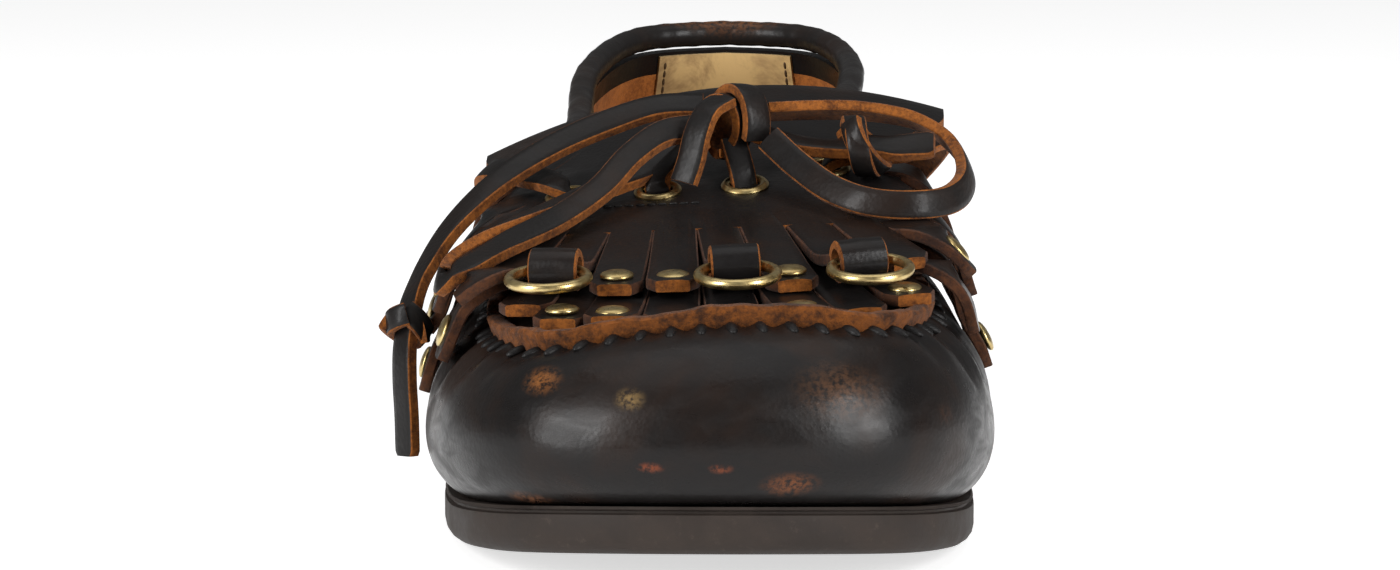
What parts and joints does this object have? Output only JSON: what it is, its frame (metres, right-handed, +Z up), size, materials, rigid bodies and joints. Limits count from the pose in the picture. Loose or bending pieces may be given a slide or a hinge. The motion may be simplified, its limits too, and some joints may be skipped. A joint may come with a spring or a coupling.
{
  "type": "kiltie loafer",
  "caption": "Right slip-on moccasin shoe with a two-tier fringed flap, riveted strips, brass rings and a flat leather lace tied in a bow.",
  "frame": {"origin": "on the floor, in the middle of the heel's tread", "axes": "+Z up, the toe points to -Y, +X to the inner (medial) side of this right shoe"},
  "size_m": [0.1176, 0.2966, 0.0795],
  "materials": {
    "sole_rubber": "matte moulded rubber, chocolate grey-brown",
    "foot_bed": "worn tan leather",
    "upper_leather": "glossy waxed pull-up leather, near-black brown",
    "fringe_leather": "glossy near-black leather with raw orange-brown edges",
    "brass": "polished, lightly worn",
    "lace_leather": "satin black face, orange-brown edges and back"
  },
  "bodies": {
    "shoe": {"outsole": "sole_rubber", "insole": "foot_bed", "upper": "upper_leather", "collar": "upper_leather", "apron": "upper_leather", "kiltie_top": "fringe_leather", "kiltie_under": "fringe_leather", "rivet_top_1": "brass", "rivet_top_2": "brass", "rivet_top_3": "brass", "rivet_top_4": "brass", "rivet_top_5": "brass", "rivet_top_6": "brass", "rivet_top_7": "brass", "rivet_top_8": "brass", "rivet_under_1": "brass", "rivet_under_2": "brass", "rivet_under_3": "brass", "rivet_under_4": "brass", "rivet_under_5": "brass", "rivet_under_6": "brass", "rivet_under_7": "brass", "eyelet_flap_1": "brass", "eyelet_flap_2": "brass", "eyelet_flap_3": "brass", "eyelet_flap_4": "brass", "eyelet_quarter_lateral_1": "brass", "eyelet_quarter_lateral_2": "brass", "eyelet_quarter_lateral_3": "brass", "eyelet_quarter_medial_1": "brass", "eyelet_quarter_medial_2": "brass", "eyelet_quarter_medial_3": "brass", "lace_side_lateral": "lace_leather", "lace_side_medial": "lace_leather", "lace_collar_lateral": "lace_leather", "lace_collar_medial": "lace_leather", "bow_loop_lateral": "lace_leather", "bow_loop_medial": "lace_leather", "lace_end_lateral": "lace_leather", "lace_tip_lateral": "lace_leather", "lace_end_medial": "lace_leather", "lace_tip_medial": "lace_leather", "bow_knot": "lace_leather", "lace_knot_lateral": "lace_leather", "lace_knot_medial": "lace_leather"},
    "ring_lateral": {"ring_1": "brass"},
    "ring_middle": {"ring_2": "brass"},
    "ring_medial": {"ring_3": "brass"}
  },
  "joints": [
    {"name": "ring_lateral_swing", "type": "hinge", "parent": "shoe", "child": "ring_lateral", "pos_m": [-0.02773, -0.21362, 0.0523], "axis": [-0.9848, 0.1731, -0.0119], "range_deg": [0, 150]},
    {"name": "ring_middle_swing", "type": "hinge", "parent": "shoe", "child": "ring_middle", "pos_m": [0.0049, -0.2142, 0.05321], "axis": [-0.9929, -0.1113, -0.0411], "range_deg": [0, 150]},
    {"name": "ring_medial_swing", "type": "hinge", "parent": "shoe", "child": "ring_medial", "pos_m": [0.02764, -0.21245, 0.05409], "axis": [-0.947, -0.3142, -0.0675], "range_deg": [0, 150]}
  ]
}
